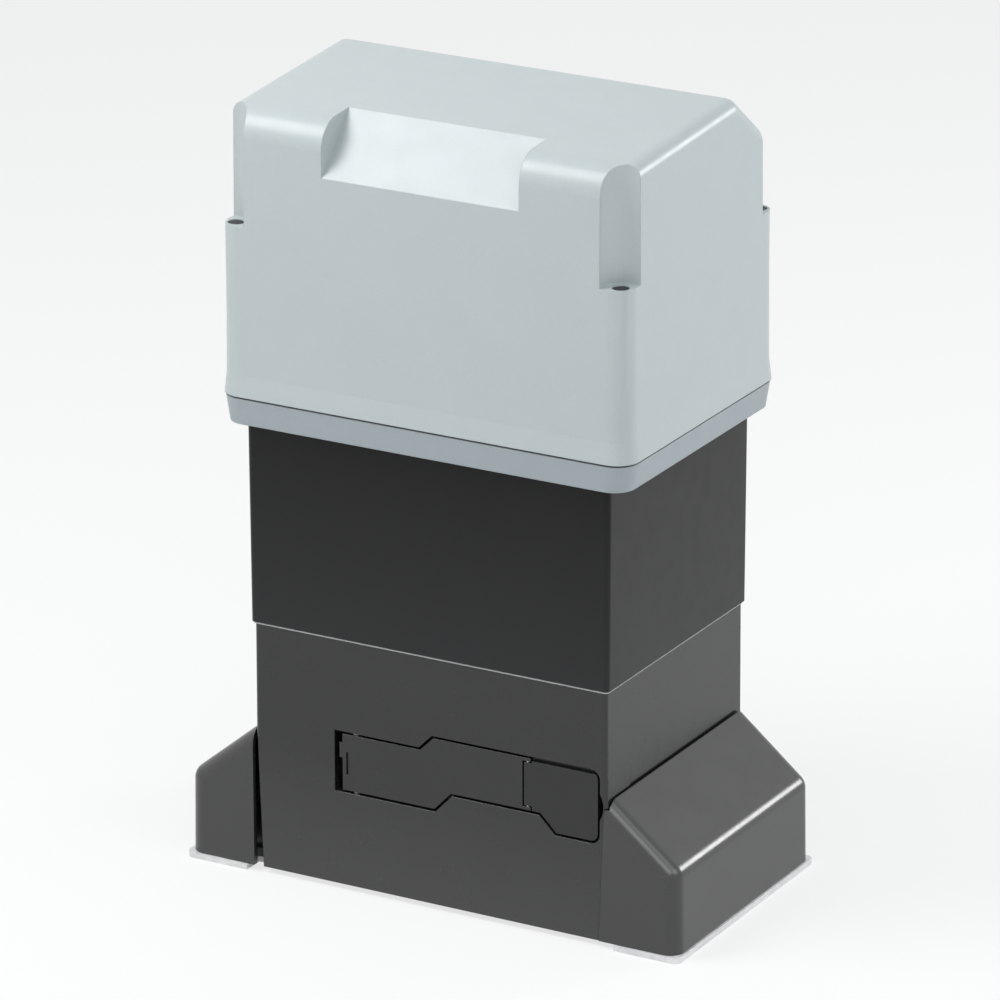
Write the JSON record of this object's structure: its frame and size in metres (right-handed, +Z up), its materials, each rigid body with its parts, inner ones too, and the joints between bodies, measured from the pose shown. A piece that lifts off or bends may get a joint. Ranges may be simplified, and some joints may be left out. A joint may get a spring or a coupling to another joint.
{
  "type": "sliding gate motor",
  "caption": "Sliding gate motor: stacked dark castings on a foundation plate, light grey cover with sloping top, side caps, release lever in the front and a rack pinion at the back.",
  "frame": {"origin": "centre of the foundation plate's underside", "axes": "+Z up, +X to the right along the gate's travel, -Y the front with the release lever; the pinion is on the +Y side"},
  "size_m": [0.2818, 0.1926, 0.4078],
  "materials": {
    "galvanised": "galvanised, matt",
    "casting": "fine textured dark grey paint",
    "casting_lower": "fine textured dark grey paint",
    "gasket": "light grey sheet",
    "cap_plastic": "fine grain",
    "lever_metal": "fine textured dark grey paint",
    "flap_plastic": "fine grain",
    "zinc": "zinc plated",
    "lock_metal": "satin",
    "cover_plastic": "satin light grey",
    "tray_plastic": "satin grey",
    "seal_rubber": "matt",
    "oil_seal": "matt",
    "machined": "ground",
    "gear_steel": "machined",
    "bearing_steel": "ground",
    "bronze": "machined",
    "aluminium": "as cast",
    "lamination": "varnished laminations",
    "copper": "varnished copper wire",
    "friction": "friction lining",
    "spring_steel": "oiled",
    "white_plastic": "moulded",
    "black_plastic": "moulded",
    "board": "lacquered board",
    "green_plastic": "moulded"
  },
  "bodies": {
    "housing": {"foundation_plate": "galvanised", "foundation_washers": "zinc", "foundation_nuts": "zinc", "lower_housing": "casting_lower", "oil_plugs": "zinc", "housing_gasket": "gasket", "upper_housing": "casting", "housing_screws": "zinc", "cable_grommet": "seal_rubber", "side_cap_left": "cap_plastic", "side_cap_right": "cap_plastic", "worm_bearings": "bearing_steel", "output_bearing_front": "bearing_steel", "output_bearing_rear": "bearing_steel", "output_seal": "oil_seal", "lever_hinge_pin": "machined", "motor_flange_lower": "aluminium", "motor_flange_upper": "aluminium", "stator_core": "lamination", "stator_windings": "copper", "motor_bearings": "bearing_steel", "cover_base": "tray_plastic", "cover_base_screws": "zinc", "cover_seal": "seal_rubber", "cover": "cover_plastic", "cover_screws": "black_plastic", "capacitor": "aluminium", "capacitor_clamp": "zinc", "board_holder": "white_plastic", "control_board": "board", "board_components": "green_plastic", "transformer": "lamination", "sensor_bracket": "zinc", "limit_sensor": "black_plastic"},
    "rotor": {"motor_shaft": "machined", "rotor_core": "lamination", "clutch_adjuster": "zinc", "clutch_drum": "machined", "clutch_discs": "friction", "clutch_spring": "spring_steel", "worm_shaft": "gear_steel"},
    "wheel": {"worm_wheel_rim": "bronze", "worm_wheel_hub": "gear_steel"},
    "output": {"output_shaft": "machined", "spacer_sleeve": "machined", "pinion": "gear_steel", "pinion_key": "machined", "pinion_washer": "zinc", "pinion_bolt": "zinc", "release_spring": "spring_steel"},
    "sleeve": {"dog_sleeve": "gear_steel", "cross_pin": "machined", "release_rod": "machined"},
    "push_plate": {"push_plate": "zinc"},
    "lever": {"release_lever": "lever_metal", "flap_hinge_pin": "machined"},
    "flap": {"lock_flap": "flap_plastic"},
    "lock": {"lock_cylinder": "lock_metal", "latch_arm": "zinc"}
  },
  "joints": [
    {"name": "motor_spin", "type": "hinge", "parent": "housing", "child": "rotor", "pos_m": [-0.0485, 0.002, 0.18], "axis": [0, 0, 1], "continuous": true},
    {"name": "wheel_spin", "type": "hinge", "parent": "housing", "child": "wheel", "pos_m": [0, 0.002, 0.075], "axis": [0, 1, 0], "continuous": true},
    {"name": "output_spin", "type": "hinge", "parent": "housing", "child": "output", "pos_m": [0, 0.06, 0.075], "axis": [0, 1, 0], "continuous": true},
    {"name": "lever_swing", "type": "hinge", "parent": "housing", "child": "lever", "pos_m": [-0.043, -0.06816, 0.075], "axis": [0, 0, -1], "range_deg": [0, 90]},
    {"name": "push_slide", "type": "slide", "parent": "housing", "child": "push_plate", "axis": [0, 1, 0], "range_m": [0, 0.0045]},
    {"name": "sleeve_slide", "type": "slide", "parent": "output", "child": "sleeve", "axis": [0, 1, 0], "range_m": [0, 0.0045], "deforming": ["release_spring"]},
    {"name": "flap_swing", "type": "hinge", "parent": "lever", "child": "flap", "pos_m": [0.0554, -0.07026, 0.075], "axis": [0, 0, -1], "range_deg": [0, 110]},
    {"name": "lock_turn", "type": "hinge", "parent": "lever", "child": "lock", "pos_m": [0.074, -0.07146, 0.073], "axis": [0, 1, 0], "range_deg": [0, 90]}
  ],
  "couplings": [
    {"joint": "wheel_spin", "follows": "motor_spin", "ratio": -0.033333},
    {"joint": "output_spin", "follows": "motor_spin", "ratio": -0.033333},
    {"joint": "push_slide", "follows": "lever_swing", "m_per_rad": 0.0028648},
    {"joint": "sleeve_slide", "follows": "lever_swing", "m_per_rad": 0.0028648}
  ]
}
